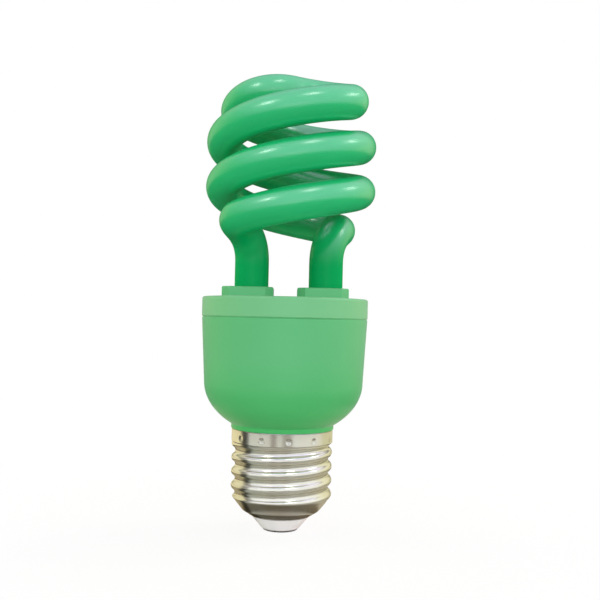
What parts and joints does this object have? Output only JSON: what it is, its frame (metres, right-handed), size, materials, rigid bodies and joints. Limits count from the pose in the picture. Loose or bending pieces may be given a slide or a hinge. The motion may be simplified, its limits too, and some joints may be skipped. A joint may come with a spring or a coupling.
{
  "type": "compact fluorescent bulb",
  "caption": "Compact fluorescent bulb: a green-coated glass tube wound as a twin helix, on a green plastic ballast housing with a screw cap.",
  "frame": {"origin": "centre of the centre contact's flat lower face, on the screw cap's axis", "axes": "+Z along the cap's axis from the contact up to the tube's bridge; the tube's two legs stand along X"},
  "size_m": [0.0447, 0.0444, 0.119],
  "materials": {
    "tube_green": "glossy coated glass",
    "housing_green": "satin moulded plastic",
    "cap_nickel": "bright nickel plating",
    "contact_nickel": "bright nickel plating",
    "insulator_grey": "smooth",
    "cement_white": "dull",
    "tinned_wire": "tinned",
    "board_tan": "pressed paper laminate",
    "ferrite_grey": "dull ferrite",
    "bobbin_black": "moulded",
    "copper_wire": "enamelled copper",
    "can_sleeve": "shrunk sleeve",
    "capacitor_dip": "dipped resin",
    "transistor_black": "moulded",
    "diode_black": "moulded",
    "resistor_body": "lacquered",
    "diac_glass": "lacquered",
    "fuse_body": "cement coated",
    "thermistor_disc": "lacquered disc",
    "lead_red": "insulated wire",
    "lead_black": "insulated wire"
  },
  "bodies": {
    "root": {"discharge_tube": "tube_green", "tube_cover": "housing_green", "ballast_housing": "housing_green", "screw_shell": "cap_nickel", "tip_insulator": "insulator_grey", "centre_contact": "contact_nickel", "tube_cement": "cement_white", "filament_leads": "tinned_wire", "wire_posts": "tinned_wire", "circuit_board": "board_tan", "choke_core_upper": "ferrite_grey", "choke_core_lower": "ferrite_grey", "choke_bobbin": "bobbin_black", "choke_winding": "copper_wire", "bulk_capacitor": "can_sleeve", "resonant_capacitor": "capacitor_dip", "coupling_capacitor": "capacitor_dip", "transistors": "transistor_black", "rectifier_diodes": "diode_black", "resistors": "resistor_body", "diac": "diac_glass", "fuse_resistor": "fuse_body", "thermistor": "thermistor_disc", "toroid_core": "ferrite_grey", "toroid_windings": "copper_wire", "inductor_core": "ferrite_grey", "inductor_winding": "copper_wire", "live_lead": "lead_red", "shell_lead": "lead_black"}
  },
  "joints": []
}
